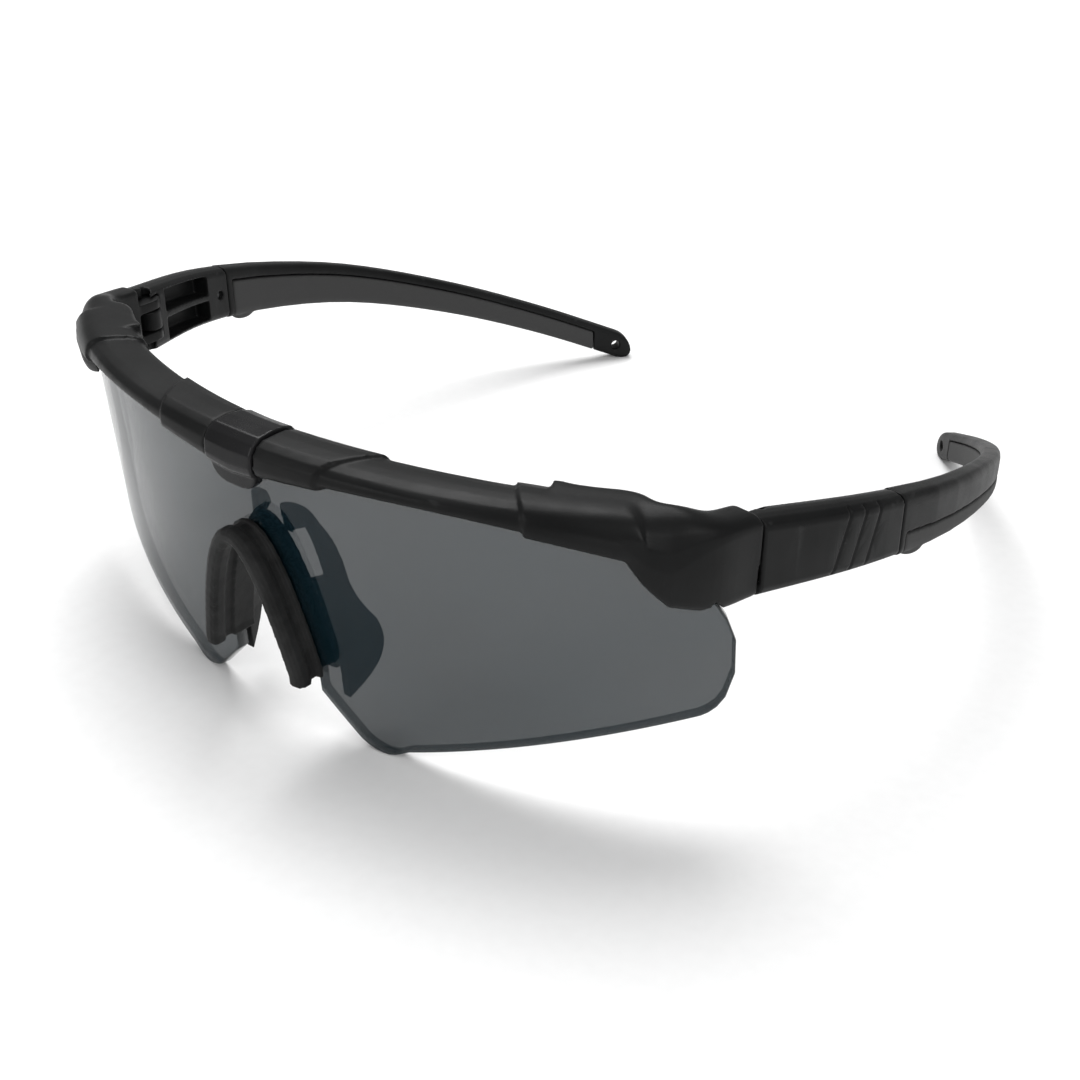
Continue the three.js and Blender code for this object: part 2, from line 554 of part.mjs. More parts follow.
// a soft pad on the wearer's left: a petal that splays outwards behind the nose clip
function makeNosePad() {
  const from = CLIP_BACK + GAP;
  const geometry = new THREE.BoxGeometry(PAD_THICK, 12, 42, 1, 4, 16);
  geometry.translate(PAD_THICK / 2, from + 6, 21);
  const sheet = solidOf(bend(geometry, (across, depth, z) => {
    const edge = Math.max(noseEdge(Math.min(z, NOSE_TOP_Z)), PAD_INNER);
    const x = edge + across + PAD_SPLAY * (depth - LENS_THICK);
    return [x, lensY(edge, z) + depth, z];
  }));
  const outline = new THREE.Shape();
  outline.moveTo(from - 1, 3.4);
  outline.quadraticCurveTo(from + 3, 5, from + 7, 10);
  outline.quadraticCurveTo(from + 10.6, 15, from + 9, 20);
  outline.quadraticCurveTo(from + 6.4, 24, from + 6.2, 28);
  outline.quadraticCurveTo(from + 6.4, 36.5, from + 3.6, 39.8);
  outline.quadraticCurveTo(from + 1.4, 41.8, from - 1, 40.4);
  outline.closePath();
  const prism = new THREE.ExtrudeGeometry(outline, { depth: 60, bevelEnabled: false, curveSegments: 6 });
  prism.applyMatrix4(new THREE.Matrix4().set(0, 0, 1, -10, 1, 0, 0, 0, 0, 1, 0, 0, 0, 0, 0, 1));
  const slot = box([0, from + 1, 28.5], [30, from + 1 + PAD_SLOT_WIDTH, 28.5 + PAD_SLOT_LENGTH]);
  return sheet.intersect(solidOf(prism)).subtract(slot);
}

// the flats that the lens and the temple tips stand on
function aboveFloor(solid) {
  return solid.subtract(box([-120, -60, -20], [120, 220, 0]));
}

// ---------------------------------------------------------------- assembly
const object = new THREE.Group();
object.name = 'safety_glasses';

function add(name, geometry, look) {
  const material = new THREE.MeshStandardMaterial(look);
  const mesh = new THREE.Mesh(geometry, material);
  mesh.name = name;
  object.add(mesh);
}

function addPair(name, geometry, look) {
  add(`${name}_left`, geometry, look);
  add(`${name}_right`, mirrored(geometry), look);
}

const SATIN_BLACK = { color: 0x1b1c1d, roughness: 0.42, metalness: 0 };
const GLOSS_BLACK = { color: 0x141516, roughness: 0.25, metalness: 0 };
const MATT_BLACK = { color: 0x202122, roughness: 0.7, metalness: 0 };
const SOFT_BLACK = { color: 0x111212, roughness: 0.85, metalness: 0 };
const SMOKE = { color: 0x4a555c, roughness: 0.06, metalness: 0, transparent: true, opacity: 0.6 };
const STEEL = { color: 0x8d9094, roughness: 0.35, metalness: 1 };

function findPivot() {
  const root = templeFrame(0);
  const inward = root.thick / 2 - KNUCKLE_R;
  return { x: root.x - inward, y: SEAM_Y + PIVOT_FROM_SEAM, z: root.z };
}

const pivot = findPivot();

function makeFrame() {
  const bar = browStretch(-WING_FROM_X - 1, WING_FROM_X + 1, 0, 32);
  const wing = makeWing(pivot);
  const wings = wing.add(solidOf(mirrored(geometryOf(wing))));
  let frame = bar.add(wings);
  for (const sign of [-1, 1]) {
    const from = Math.min(sign * SLEEVE_FROM_X, sign * SLEEVE_TO_X);
    frame = frame.add(browStretch(from, from + SLEEVE_TO_X - SLEEVE_FROM_X, SLEEVE_PROUD, 7, SLEEVE_SLANT));
    const start = Math.min(sign * SHOULDER_FROM_X, sign * SHOULDER_TO_X);
    const length = SHOULDER_TO_X - SHOULDER_FROM_X;
    frame = frame.add(browStretch(start, start + length, SLEEVE_PROUD, 7, SHOULDER_SLANT));
  }
  return frame.subtract(makeLens(GAP)).subtract(collarSeat());
}

add('brow_frame', geometryOf(makeFrame()), SATIN_BLACK);
add('bridge_collar', geometryOf(makeCollar()), GLOSS_BLACK);
add('shield_lens', geometryOf(aboveFloor(makeLens(0))), SMOKE);
add('nose_clip', geometryOf(makeNoseClip()), MATT_BLACK);
addPair('nose_pad', geometryOf(makeNosePad()), SOFT_BLACK);
addPair('hinge_screw', geometryOf(makeHingeScrew(pivot)), STEEL);
addPair('temple_front', geometryOf(makeTempleFront(pivot)), SATIN_BLACK);
addPair('temple_rear', geometryOf(aboveFloor(makeTempleRear())), SATIN_BLACK);
addPair('temple_grip', geometryOf(makeTempleGrip()), SOFT_BLACK);
addPair('temple_pin', geometryOf(makeTemplePin()), STEEL);

// the origin is under the middle of the footprint, on the surface that the glasses stand on
const extent = new THREE.Box3().setFromObject(object);
object.position.set(0, -(extent.min.y + extent.max.y) / 2, -extent.min.z);

export default object;
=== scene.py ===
"""Looks for a pair of wrap-round safety glasses: satin plastic frame and temples,
a smoke shield lens with a dark cut edge, a rubber nosepiece and soft temple grips."""

import math

import bmesh
import bpy
import numpy as np
from mathutils import Matrix, Vector


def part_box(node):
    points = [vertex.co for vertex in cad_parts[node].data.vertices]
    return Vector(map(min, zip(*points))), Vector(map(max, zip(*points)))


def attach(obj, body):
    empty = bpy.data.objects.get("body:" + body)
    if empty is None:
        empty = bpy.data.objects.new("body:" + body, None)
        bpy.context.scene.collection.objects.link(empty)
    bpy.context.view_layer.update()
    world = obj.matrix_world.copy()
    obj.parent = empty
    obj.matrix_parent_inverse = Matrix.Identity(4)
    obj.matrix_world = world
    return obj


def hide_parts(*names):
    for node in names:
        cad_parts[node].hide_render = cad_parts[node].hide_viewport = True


bl_info = {
    "name": "Safety Glasses",
    "version": (1, 0, 0),
    "blender": (4, 5, 0),
    "location": "3D View > Sidebar > Glasses",
    "description": "Builds wrap-round safety glasses over a fixed frame of parts",
    "category": "Add Mesh",
}

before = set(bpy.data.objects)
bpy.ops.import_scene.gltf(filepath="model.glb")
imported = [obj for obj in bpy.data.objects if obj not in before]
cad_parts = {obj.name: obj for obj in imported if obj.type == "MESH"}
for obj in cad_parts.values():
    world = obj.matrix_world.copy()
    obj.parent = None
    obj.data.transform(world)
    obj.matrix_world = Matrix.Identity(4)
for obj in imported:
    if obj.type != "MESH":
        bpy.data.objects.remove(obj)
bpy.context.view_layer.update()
LENS_LOW, LENS_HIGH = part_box("shield_lens")
MM = 0.001
SIDES = ("left", "right")

# The lens, in millimetres: a plan curve y = c2 x^2 + c4 x^4 that leans back towards its foot
LENS_CURVE_2 = 4.36e-3
LENS_CURVE_4 = 1.65e-7
LENS_LEAN = 0.0695
LENS_HALF_WIDTH = LENS_HIGH.x / MM
LENS_TOP = LENS_HIGH.z / MM
BROW_LOW = 49.0
BROW_BOW = 2.3
BROW_DROP = 2.65
BROW_END = 59.3
LENS_IN_GROOVE = 1.7
LENS_FOOT = 22.0
LOBE_SLOPE = 0.34
LOBE_RAISE = 0.4
NOSE_TOP = 37.6
NOSE_SPREAD = 0.228
NOSE_HALF_WIDTH = 10.1
LENS_FRONT = LENS_LOW.y / MM - LENS_LEAN * (BROW_LOW - LENS_TOP)

# The top of the bar is relaxed between these distances from the middle and heights, in millimetres
BLEND_FROM_X = 47.5
BLEND_TO_X = 72
BLEND_FLOOR_Z = 50.4
BLEND_FULL_Z = 52

# The temples' slanted grooves, as shares of the front section's length
GROOVE_STARTS = (0.5, 0.62, 0.74)
GROOVE_LEAN = 0.16

# The camera: its place in metres, its angles in degrees and its focal length in millimetres
CAMERA_PLACE = (0.1727, -0.2213, 0.1624)
CAMERA_TURN = 38.79
CAMERA_RISE = 30.17
CAMERA_LENS = 53.37


# ------------------------------------------------------------------ node helpers
class Paint:
    """A material with one Principled shader, and short calls for the nodes behind it."""

    def __init__(self, name, roughness, specular=0.5, ior=1.5, metallic=0.0, alpha=1.0):
        self.material = bpy.data.materials.new(name)
        self.material.use_nodes = True
        self.tree = self.material.node_tree
        self.shader = self.tree.nodes["Principled BSDF"]
        self.set("Roughness", roughness)
        self.set("Specular IOR Level", specular)
        self.set("IOR", ior)
        self.set("Metallic", metallic)
        self.set("Alpha", alpha)
        coords = self.tree.nodes.new("ShaderNodeTexCoord")
        self.place = coords.outputs["Object"]

    def set(self, socket, value):
        self.shader.inputs[socket].default_value = value

    def link(self, source, target):
        self.tree.links.new(source, target)

    def noise(self, scale, detail=3.0, rough=0.5, place=None):
        node = self.tree.nodes.new("ShaderNodeTexNoise")
        node.inputs["Scale"].default_value = scale
        node.inputs["Detail"].default_value = detail
        node.inputs["Roughness"].default_value = rough
        self.link(place or self.place, node.inputs["Vector"])
        return node.outputs["Fac"]

    def stretched(self, scale):
        node = self.tree.nodes.new("ShaderNodeMapping")
        node.inputs["Scale"].default_value = scale
        self.link(self.place, node.inputs["Vector"])
        return node.outputs["Vector"]

    def ramp(self, source, stops):
        """Maps a 0 to 1 value to greys or colours; `stops` are (position, colour)."""
        node = self.tree.nodes.new("ShaderNodeValToRGB")
        steps = node.color_ramp.elements
        while len(steps) < len(stops):
            steps.new(0.5)
        for step, (position, colour) in zip(steps, stops):
            step.position = position
            step.color = (*colour, 1) if len(colour) == 3 else colour
        self.link(source, node.inputs["Fac"])
        return node.outputs["Color"]

    def fit(self, source, low, high, from_low=0.0, from_high=1.0):
        node = self.tree.nodes.new("ShaderNodeMapRange")
        node.inputs["From Min"].default_value = from_low
        node.inputs["From Max"].default_value = from_high
        node.inputs["To Min"].default_value = low
        node.inputs["To Max"].default_value = high
        self.link(source, node.inputs["Value"])
        return node.outputs["Result"]

    def math(self, operation, first, second):
        node = self.tree.nodes.new("ShaderNodeMath")
        node.operation = operation
        for socket, value in zip(node.inputs, (first, second)):
            if isinstance(value, (int, float)):
                socket.default_value = value
            else:
                self.link(value, socket)
        return node.outputs["Value"]

    def mix(self, factor, first, second):
        node = self.tree.nodes.new("ShaderNodeMix")
        node.data_type = "RGBA"
        self.link(factor, node.inputs["Factor"])
        for socket, value in ((node.inputs["A"], first), (node.inputs["B"], second)):
            if isinstance(value, tuple):
                socket.default_value = (*value, 1)
            else:
                self.link(value, socket)
        return node.outputs["Result"]

    def bump(self, source, strength, depth):
        node = self.tree.nodes.new("ShaderNodeBump")
        node.inputs["Strength"].default_value = strength
        node.inputs["Distance"].default_value = depth
        self.link(source, node.inputs["Height"])
        self.link(node.outputs["Normal"], self.shader.inputs["Normal"])

    def edges(self, low=0.52, high=0.6):
        """1 on worn outside edges, 0 elsewhere."""
        geometry = self.tree.nodes.new("ShaderNodeNewGeometry")
        return self.fit(geometry.outputs["Pointiness"], 0.0, 1.0, low, high)


def moulded_plastic(name, colour, roughness, grain, wear):
    """Moulded nylon: a fine spark texture, faint tone changes and paler, rubbed edges."""
    paint = Paint(name, roughness, specular=0.12)
    cloud = paint.noise(60, 4)
    pale = tuple(min(c * 1.45 + 0.004, 1) for c in colour)
    tone = paint.ramp(cloud, [(0.3, colour), (0.75, pale)])
    rubbed = paint.math("MULTIPLY", paint.edges(), paint.noise(900, 3))
    worn = tuple(c * 2.2 + wear for c in colour)
    paint.link(paint.mix(rubbed, tone, worn), paint.shader.inputs["Base Color"])
    fine = paint.noise(5200, 2, 0.6)
    patches = paint.math("ADD", fine, paint.noise(170, 3))
    gloss = paint.fit(patches, roughness - 0.07, roughness + 0.09, 0.6, 1.4)
    paint.link(gloss, paint.shader.inputs["Roughness"])
    paint.bump(fine, grain, 0.00006)
    return paint.material


def soft_rubber(name, colour, roughness):
    """Matt rubber with a powdery bloom and a fine skin."""
    paint = Paint(name, roughness, specular=0.15)
    dust = paint.noise(220, 5, 0.6)
    bloom = tuple(c * 1.9 + 0.006 for c in colour)
    paint.link(paint.ramp(dust, [(0.35, colour), (0.8, bloom)]), paint.shader.inputs["Base Color"])
    skin = paint.noise(3600, 3, 0.65)
    paint.link(paint.fit(skin, roughness - 0.08, roughness + 0.08), paint.shader.inputs["Roughness"])
    paint.set("Sheen Weight", 0.03)
    paint.set("Sheen Roughness", 0.5)
    paint.bump(skin, 0.35, 0.00008)
    return paint.material


def turned_steel(name):
    """Plain steel with fine turning marks and a few dull spots."""
    paint = Paint(name, 0.3, metallic=1.0)
    marks = paint.noise(2600, 3, 0.6, paint.stretched((1, 1, 12)))
    paint.link(paint.ramp(marks, [(0.3, (0.34, 0.35, 0.36)), (0.8, (0.56, 0.57, 0.58))]),
               paint.shader.inputs["Base Color"])
    paint.link(paint.fit(paint.noise(700, 4), 0.22, 0.48), paint.shader.inputs["Roughness"])
    paint.bump(marks, 0.25, 0.00003)
    return paint.material


def smoke_lens(name, tint, alpha):
    """Polished smoke plastic that lets part of the light straight through."""
    paint = Paint(name, 0.05, specular=0.14, ior=1.58, alpha=alpha)
    haze = paint.noise(45, 3)
    deep = tuple(c * 0.72 for c in tint)
    paint.link(paint.ramp(haze, [(0.3, deep), (0.7, tint)]), paint.shader.inputs["Base Color"])
    smear = paint.noise(130, 5, 0.6, paint.stretched((1, 1, 3)))
    paint.link(paint.fit(smear, 0.03, 0.12, 0.35, 0.8), paint.shader.inputs["Roughness"])
    paint.bump(paint.noise(25, 2), 0.02, 0.0002)
    return paint.material


# ------------------------------------------------------------------ shape helpers
def surface_slope(x):
    return 2 * LENS_CURVE_2 * x + 4 * LENS_CURVE_4 * x**3


def behind_lens(x, depth, z):
    """The point `depth` mm behind the front of the lens, square to it, in metres."""
    slope = surface_slope(x)
    length = math.hypot(1, slope)
    front = LENS_FRONT + LENS_CURVE_2 * x**2 + LENS_CURVE_4 * x**4 + LENS_LEAN * (BROW_LOW - z)
    return Vector(((x - depth * slope / length) * MM, (front + depth / length) * MM, z * MM))


def brow_low(x):
    share = abs(x) / BROW_END
    return BROW_LOW + BROW_BOW * math.sin(math.pi * min(share * 0.9, 1)) - BROW_DROP * share**4


def quadratic(start, control, end, steps=14):
    points = []
    for i in range(1, steps + 1):
        t = i / steps
        points.append(tuple((1 - t) ** 2 * a + 2 * t * (1 - t) * b + t * t * c
                            for a, b, c in zip(start, control, end)))
    return points


def upper_outline():
    """The lens outline from its top centre to its widest point."""
    points = [(x, brow_low(x) + LENS_IN_GROOVE) for x in range(0, 61, 3)]
    points += quadratic(points[-1], (65, 47), (67, 42))
    points += quadratic(points[-1], (71.6, 38), (LENS_HALF_WIDTH, 30))
    return points


def lobe_low(x):
    return LOBE_SLOPE * (x - LENS_FOOT) + LOBE_RAISE


def lower_outline():
    """The lens outline from its widest point to the foot of the nose cut-out."""
    points = [(LENS_HALF_WIDTH, 30)]
    points += quadratic(points[-1], (LENS_HALF_WIDTH, 18.5), (68, lobe_low(68) + 1))
    points += quadratic(points[-1], (50, lobe_low(50) + 0.1), (LENS_FOOT + 3.4, lobe_low(LENS_FOOT + 3.4)))
    points += quadratic(points[-1], (LENS_FOOT, -1.6), (LENS_FOOT - 4.6, 1.5))
    points.append((NOSE_HALF_WIDTH, 8.8))
    return [(x, max(z, 0)) for x, z in points]


def arch_height(x):
    return NOSE_TOP - NOSE_SPREAD * x * x


def weld_copy(name, node):
    """A copy of a CAD part's mesh with its shared corners joined."""
    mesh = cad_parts[node].data.copy()
    mesh.name = name
    mesh.materials.clear()
    work = bmesh.new()
    work.from_mesh(mesh)
    bmesh.ops.remove_doubles(work, verts=work.verts, dist=0.00001)
    work.to_mesh(mesh)
    work.free()
    piece = bpy.data.objects.new(name, mesh)
    bpy.context.scene.collection.objects.link(piece)
    return piece


def apply_modifiers(piece):
    """Turns the modified shape into the piece's own mesh."""
    graph = bpy.context.evaluated_depsgraph_get()
    mesh = bpy.data.meshes.new_from_object(piece.evaluated_get(graph))
    piece.modifiers.clear()
    piece.data = mesh


def moulded(name, node, voxel, passes):
    """A moulded version of a CAD part: its edges rounded off and its steps blended."""
    piece = weld_copy(name, node)
    remesh = piece.modifiers.new("even_skin", "REMESH")
    remesh.mode = "VOXEL"
    remesh.voxel_size = voxel
    relax = piece.modifiers.new("rounding", "SMOOTH")
    relax.factor = 0.5
    relax.iterations = passes
    apply_modifiers(piece)
    return piece


def blend_tops(piece, low, high, floor, full, passes):
    """Relaxes the top of a piece between two distances from its middle, with soft borders."""
    points = points_of(piece)
    aside = np.abs(points[:, 0])
    border = 2 * MM
    share = np.clip((aside - low) / border, 0, 1) * np.clip((high - aside) / border, 0, 1)
    share *= np.clip((points[:, 2] - floor) / (full - floor), 0, 1)
    group = piece.vertex_groups.new(name="top")
    for index in np.nonzero(share > 0)[0]:
        group.add([int(index)], float(share[index]), "REPLACE")
    relax = piece.modifiers.new("blending", "SMOOTH")
    relax.vertex_group = "top"
    relax.factor = 0.5
    relax.iterations = passes
    apply_modifiers(piece)


def lighten(piece, keep):
    """Fewer triangles, for a piece whose fine shape is finished."""
    fewer = piece.modifiers.new("fewer", "DECIMATE")
    fewer.ratio = keep
    apply_modifiers(piece)


def finish_piece(piece, body, node, slot, *materials):
    """Shades and paints one piece, hangs it on its body and hides the CAD part that it stands in for."""
    for polygon in piece.data.polygons:
        polygon.use_smooth = True
    for material in materials:
        piece.data.materials.append(material)
    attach(piece, body)
    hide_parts(node)


def points_of(piece):
    coordinates = np.zeros(len(piece.data.vertices) * 3)
    piece.data.vertices.foreach_get("co", coordinates)
    return coordinates.reshape(-1, 3)


def put_points(piece, points):
    piece.data.vertices.foreach_set("co", points.ravel())
    piece.data.update()


def paint_of(name):
    """A finished material by its name; the finish operators run first."""
    found = bpy.data.materials.get(name)
    if found is None:
        raise RuntimeError(f"the finish {name} isn't made yet")
    return found


# ------------------------------------------------------------------ settings
class GlassesSizes(bpy.types.PropertyGroup):
    lens_thickness: bpy.props.FloatProperty(
        name="Lens thickness", description="Thickness of the shield lens",
        default=2.2 * MM, min=0.0015, max=0.003, subtype="DISTANCE", unit="LENGTH")
    lens_edge_round: bpy.props.FloatProperty(
        name="Lens edge rounding", description="How far the lens edge is rounded over",
        default=0.25 * MM, min=0.0, max=0.001, subtype="DISTANCE", unit="LENGTH")
    skin: bpy.props.FloatProperty(
        name="Skin size", description="Mesh size of the moulded pieces",
        default=0.3 * MM, min=0.0002, max=0.001, subtype="DISTANCE", unit="LENGTH")
    groove_depth: bpy.props.FloatProperty(
        name="Groove depth", description="Depth of the slanted grooves in the temples",
        default=0.2 * MM, min=0.0, max=0.001, subtype="DISTANCE", unit="LENGTH")
    groove_width: bpy.props.FloatProperty(
        name="Groove width", description="Width of each slanted groove",
        default=0.7 * MM, min=0.0002, max=0.002, subtype="DISTANCE", unit="LENGTH")


class GlassesFinishes(bpy.types.PropertyGroup):
    nylon: bpy.props.FloatVectorProperty(
        name="Nylon", description="Colour of the frame and temples",
        subtype="COLOR", size=3, default=(0.0045, 0.0047, 0.0048), min=0, max=1)
    clasp: bpy.props.FloatVectorProperty(
        name="Clasp", description="Colour of the glossier clasp at the bridge",
        subtype="COLOR", size=3, default=(0.008, 0.008, 0.0085), min=0, max=1)
    rubber: bpy.props.FloatVectorProperty(
        name="Rubber", description="Colour of the nosepiece and grips",
        subtype="COLOR", size=3, default=(0.009, 0.0092, 0.0092), min=0, max=1)
    smoke: bpy.props.FloatVectorProperty(
        name="Smoke", description="Tint of the lens",
        subtype="COLOR", size=3, default=(0.006, 0.018, 0.025), min=0, max=1)
    lens_alpha: bpy.props.FloatProperty(
        name="Lens density", description="Share of the light that each lens face stops",
        default=0.7, min=0.1, max=1.0, subtype="FACTOR")
    nylon_roughness: bpy.props.FloatProperty(
        name="Nylon roughness", description="Roughness of the satin plastic",
        default=0.4, min=0.1, max=0.9, subtype="FACTOR")


# ------------------------------------------------------------------ operators
class GLASSES_OT_finishes(bpy.types.Operator):
    """Makes the plastic, rubber, steel and lens materials"""

    bl_idname = "glasses.finishes"
    bl_label = "Finishes"

    def execute(self, context):
        looks = context.scene.glasses_finishes
        nylon, rubber, smoke = tuple(looks.nylon), tuple(looks.rubber), tuple(looks.smoke)
        moulded_plastic("satin_nylon", nylon, looks.nylon_roughness, 0.22, 0.012)
        moulded_plastic("clasp_nylon", tuple(looks.clasp), looks.nylon_roughness - 0.18, 0.08, 0.01)
        moulded_plastic("temple_nylon", nylon, looks.nylon_roughness + 0.05, 0.28, 0.012)
        soft_rubber("nose_rubber", rubber, 0.62)
        soft_rubber("grip_rubber", rubber, 0.7)
        turned_steel("turned_steel")
        smoke_lens("smoke_lens", smoke, looks.lens_alpha)
        smoke_lens("lens_cut_edge", tuple(c * 0.3 for c in smoke), 0.9)
        return {"FINISHED"}


class GLASSES_OT_brow_frame(bpy.types.Operator):
    """Makes the brow bar with its two end pieces, and the clasp at the bridge"""

    bl_idname = "glasses.brow_frame"
    bl_label = "Brow frame and clasp"

    def execute(self, context):
        skin = context.scene.glasses_sizes.skin
        bar = moulded("brow_bar", "brow_frame", skin, 3)
        blend_tops(bar, BLEND_FROM_X * MM, BLEND_TO_X * MM, BLEND_FLOOR_Z * MM, BLEND_FULL_Z * MM, 60)
        lighten(bar, 0.3)
        finish_piece(bar, "front", "brow_frame", "frame_black", paint_of("satin_nylon"))
        clasp = moulded("bridge_clasp", "bridge_collar", skin * 0.7, 4)
        lighten(clasp, 0.35)
        finish_piece(clasp, "front", "bridge_collar", "collar_black", paint_of("clasp_nylon"))
        return {"FINISHED"}


class GLASSES_OT_shield_lens(bpy.types.Operator):
    """Makes the one-piece curved lens with its rounded, darker cut edge"""

    bl_idname = "glasses.shield_lens"
    bl_label = "Shield lens"

    def columns(self, inset):
        """The upright lines of the lens mesh, closer together at the ends and the nose."""
        half = LENS_HALF_WIDTH - inset
        right = list(np.linspace(0, NOSE_HALF_WIDTH - 0.02, 14))
        right += list(np.linspace(NOSE_HALF_WIDTH + 0.02, LENS_FOOT + 4, 14))
        right += list(np.linspace(LENS_FOOT + 5.5, 66, 30))
        right += [half - (half - 66) * math.cos(math.pi / 2 * i / 10) for i in range(1, 11)]
        return [-x for x in reversed(right[1:])] + right

    def span(self, x, inset, upper, lower):
        """The lowest and highest z of the lens at one x."""
        place = abs(x)
        top = np.interp(place, [p[0] for p in upper], [p[1] for p in upper])
        if place < NOSE_HALF_WIDTH:
            return arch_height(place) + inset, top - inset
        rising = lower[::-1]
        low = np.interp(place, [p[0] for p in rising], [p[1] for p in rising])
        return low + inset * 0.6, top - inset

    def execute(self, context):
        sizes = context.scene.glasses_sizes
        thick = sizes.lens_thickness / MM
        inset = sizes.lens_edge_round / MM
        upper, lower = upper_outline(), lower_outline()
        columns = self.columns(inset)
        rows = 26
        grid = []
        for x in columns:
            low, high = self.span(x, inset, upper, lower)
            grid.append([(x, low + (high - low) * r / rows) for r in range(rows + 1)])
        mesh = bmesh.new()
        front = [[mesh.verts.new(behind_lens(x, 0, z)) for x, z in line] for line in grid]
        back = [[mesh.verts.new(behind_lens(x, thick, z)) for x, z in line] for line in grid]
        for i in range(len(columns) - 1):
            for r in range(rows):
                a, b = front[i], front[i + 1]
                mesh.faces.new((a[r], b[r], b[r + 1], a[r + 1]))
                a, b = back[i], back[i + 1]
                mesh.faces.new((a[r], a[r + 1], b[r + 1], b[r]))
        last = len(columns) - 1
        ring = [(i, 0) for i in range(last + 1)] + [(last, r) for r in range(1, rows + 1)]
        ring += [(i, rows) for i in range(last - 1, -1, -1)] + [(0, r) for r in range(rows - 1, 0, -1)]
        flat = np.array([grid[i][r] for i, r in ring])
        along = np.roll(flat, -1, 0) - np.roll(flat, 1, 0)
        outward = np.stack([along[:, 1], -along[:, 0]], 1)
        outward /= np.maximum(np.linalg.norm(outward, axis=1), 1e-6)[:, None]
        rim = [[front[i][r] for i, r in ring]]
        for depth in (inset, thick - inset):
            edge = flat + outward * inset * 0.8
            rim.append([mesh.verts.new(behind_lens(x, depth, max(z, 0.0))) for x, z in edge])
        rim.append([back[i][r] for i, r in ring])
        count = len(ring)
        for a, b in zip(rim[:-1], rim[1:]):
            for k in range(count):
                face = mesh.faces.new((a[k], b[k], b[(k + 1) % count], a[(k + 1) % count]))
                face.material_index = 1
        bmesh.ops.recalc_face_normals(mesh, faces=mesh.faces)
        data = bpy.data.meshes.new("smoke_shield")
        mesh.to_mesh(data)
        mesh.free()
        lens = bpy.data.objects.new("smoke_shield", data)
        context.scene.collection.objects.link(lens)
        finish_piece(lens, "front", "shield_lens", "lens_smoke",
                     paint_of("smoke_lens"), paint_of("lens_cut_edge"))
        return {"FINISHED"}


class GLASSES_OT_nosepiece(bpy.types.Operator):
    """Makes the arched nose clip and its two soft pads"""

    bl_idname = "glasses.nosepiece"
    bl_label = "Nosepiece"

    def execute(self, context):
        skin = context.scene.glasses_sizes.skin
        arch = moulded("nose_arch", "nose_clip", skin * 0.6, 5)
        lighten(arch, 0.3)
        finish_piece(arch, "front", "nose_clip", "clip_black", paint_of("nose_rubber"))
        for side in SIDES:
            node = f"nose_pad_{side}"
            pad = moulded(f"soft_pad_{side}", node, skin * 0.6, 6)
            lighten(pad, 0.4)
            finish_piece(pad, "front", node, "pad_rubber", paint_of("nose_rubber"))
        return {"FINISHED"}


class GLASSES_OT_temples(bpy.types.Operator):
    """Makes the front and rear sections of both temples, with grooves and soft grips"""

    bl_idname = "glasses.temples"
    bl_label = "Temples"

    def cut_grooves(self, piece, side, sizes):
        """Presses three slanted grooves into the outer face of a temple's front section."""
        low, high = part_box(f"temple_front_{side}")
        points = points_of(piece)
        outer = np.abs(points[:, 0])
        along = (points[:, 1] - low.y) / (high.y - low.y)
        up = (points[:, 2] - low.z) / (high.z - low.z)
        length = high.y - low.y
        half = sizes.groove_width / 2
        normals = np.zeros(len(points) * 3)
        piece.data.vertices.foreach_get("normal", normals)
        normals = normals.reshape(-1, 3)
        facing = np.abs(normals[:, 0]) * (np.sign(normals[:, 0]) == np.sign(points[:, 0]))
        for start in GROOVE_STARTS:
            away = np.abs((along - start - GROOVE_LEAN * (up - 0.5)) * length)
            press = np.clip(1 - away / half, 0, 1) ** 0.7 * (facing > 0.5) * (outer > 0.07)
            press *= np.clip((up - 0.12) / 0.06, 0, 1) * np.clip((0.9 - up) / 0.06, 0, 1)
            points = points - normals * (press * sizes.groove_depth)[:, None]
        put_points(piece, points)

    def execute(self, context):
        sizes = context.scene.glasses_sizes
        skin = sizes.skin
        for side in SIDES:
            body = f"temple_{side}"
            root = moulded(f"temple_root_{side}", f"temple_front_{side}", skin * 0.75, 2)
            self.cut_grooves(root, side, sizes)
            lighten(root, 0.4)
            finish_piece(root, body, f"temple_front_{side}", "temple_black", paint_of("satin_nylon"))
            spine = moulded(f"temple_spine_{side}", f"temple_rear_{side}", skin * 0.85, 4)
            lighten(spine, 0.35)
            finish_piece(spine, body, f"temple_rear_{side}", "temple_black", paint_of("temple_nylon"))
            grip = moulded(f"ear_grip_{side}", f"temple_grip_{side}", skin * 0.85, 4)
            lighten(grip, 0.35)
            finish_piece(grip, body, f"temple_grip_{side}", "grip_rubber", paint_of("grip_rubber"))
        return {"FINISHED"}


class GLASSES_OT_fasteners(bpy.types.Operator):
    """Paints the hinge screws and the temples' cross pins"""

    bl_idname = "glasses.fasteners"
    bl_label = "Screws and pins"

    def execute(self, context):
        steel = paint_of("turned_steel")
        for kind in ("hinge_screw", "temple_pin"):
            for side in SIDES:
                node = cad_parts[f"{kind}_{side}"]
                node.data.materials.clear()
                node.data.materials.append(steel)
        return {"FINISHED"}


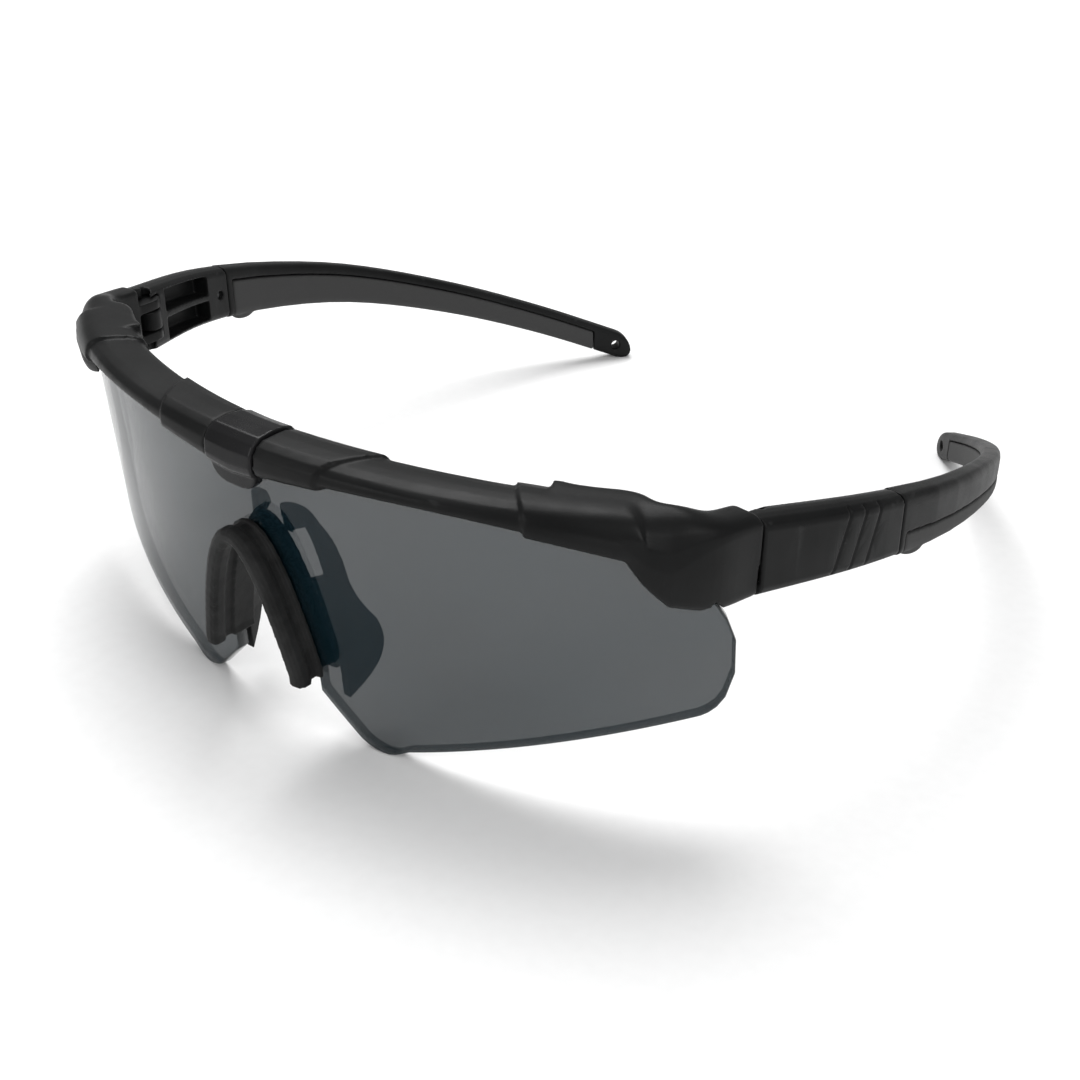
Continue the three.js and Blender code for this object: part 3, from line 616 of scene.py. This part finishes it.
class GLASSES_OT_stage(bpy.types.Operator):
    """Makes the pale floor, the soft studio lights and the camera"""

    bl_idname = "glasses.stage"
    bl_label = "Stage"

    def floor(self, context):
        mesh = bmesh.new()
        bmesh.ops.create_grid(mesh, x_segments=24, y_segments=24, size=2.5)
        for vertex in mesh.verts:
            vertex.co.z = max(vertex.co.y - 1.2, 0) ** 2 * 0.5 - 0.00005
        data = bpy.data.meshes.new("studio_floor")
        mesh.to_mesh(data)
        mesh.free()
        for polygon in data.polygons:
            polygon.use_smooth = True
        floor = bpy.data.objects.new("studio_floor", data)
        context.scene.collection.objects.link(floor)
        paint = Paint("pale_paper", 0.75, specular=0.2)
        grain = paint.noise(380, 3)
        paint.link(paint.ramp(grain, [(0.3, (0.93, 0.93, 0.93)), (0.7, (0.95, 0.95, 0.95))]),
                   paint.shader.inputs["Base Color"])
        data.materials.append(paint.material)

    def lamp(self, context, name, place, target, size, power):
        light = bpy.data.lights.new(name, "AREA")
        light.shape = "RECTANGLE"
        light.size, light.size_y = size
        light.energy = power
        lamp = bpy.data.objects.new(name, light)
        context.scene.collection.objects.link(lamp)
        lamp.location = place
        lamp.rotation_euler = (Vector(target) - Vector(place)).to_track_quat("-Z", "Y").to_euler()

    def execute(self, context):
        self.floor(context)
        world = bpy.data.worlds.new("studio_air")
        world.use_nodes = True
        air = world.node_tree.nodes["Background"]
        air.inputs["Color"].default_value = (1, 1, 1, 1)
        air.inputs["Strength"].default_value = 0.32
        context.scene.world = world
        context.scene.view_settings.view_transform = "Standard"
        self.lamp(context, "key_softbox", (-0.35, 0.25, 0.9), (0, 0, 0.03), (0.7, 0.7), 10)
        self.lamp(context, "side_softbox", (0.75, -0.25, 0.55), (0.04, 0, 0.03), (0.5, 0.5), 3)
        self.lamp(context, "front_softbox", (-0.3, -0.9, 0.4), (0, 0, 0.03), (0.5, 0.4), 2)
        turn, rise = math.radians(CAMERA_TURN), math.radians(CAMERA_RISE)
        right = Vector((math.cos(turn), math.sin(turn), 0))
        back = Vector((math.sin(turn) * math.cos(rise), -math.cos(turn) * math.cos(rise), math.sin(rise)))
        up = back.cross(right)
        data = bpy.data.cameras.new("view")
        data.sensor_width = 36
        data.lens = CAMERA_LENS
        data.clip_start = 0.01
        camera = bpy.data.objects.new("view", data)
        context.scene.collection.objects.link(camera)
        turned = Matrix((right, up, back)).transposed().to_4x4()
        camera.matrix_world = Matrix.Translation(CAMERA_PLACE) @ turned
        context.scene.camera = camera
        return {"FINISHED"}


class GLASSES_PT_panel(bpy.types.Panel):
    """Lists the steps that build the glasses, and their settings"""

    bl_label = "Safety glasses"
    bl_idname = "GLASSES_PT_panel"
    bl_space_type = "VIEW_3D"
    bl_region_type = "UI"
    bl_category = "Glasses"

    def draw(self, context):
        for group in (context.scene.glasses_sizes, context.scene.glasses_finishes):
            for name in group.__annotations__:
                self.layout.prop(group, name)
        for step in STEPS:
            self.layout.operator(step.bl_idname)


STEPS = (GLASSES_OT_finishes, GLASSES_OT_brow_frame, GLASSES_OT_shield_lens, GLASSES_OT_nosepiece,
         GLASSES_OT_temples, GLASSES_OT_fasteners, GLASSES_OT_stage)
CLASSES = (GlassesSizes, GlassesFinishes, *STEPS, GLASSES_PT_panel)


def register():
    for item in CLASSES:
        bpy.utils.register_class(item)
    bpy.types.Scene.glasses_sizes = bpy.props.PointerProperty(type=GlassesSizes)
    bpy.types.Scene.glasses_finishes = bpy.props.PointerProperty(type=GlassesFinishes)


def unregister():
    del bpy.types.Scene.glasses_finishes
    del bpy.types.Scene.glasses_sizes
    for item in reversed(CLASSES):
        bpy.utils.unregister_class(item)


def main():
    register()
    bpy.ops.glasses.finishes()
    bpy.ops.glasses.brow_frame()
    bpy.ops.glasses.shield_lens()
    bpy.ops.glasses.nosepiece()
    bpy.ops.glasses.temples()
    bpy.ops.glasses.fasteners()
    bpy.ops.glasses.stage()


if __name__ == "__main__":
    main()
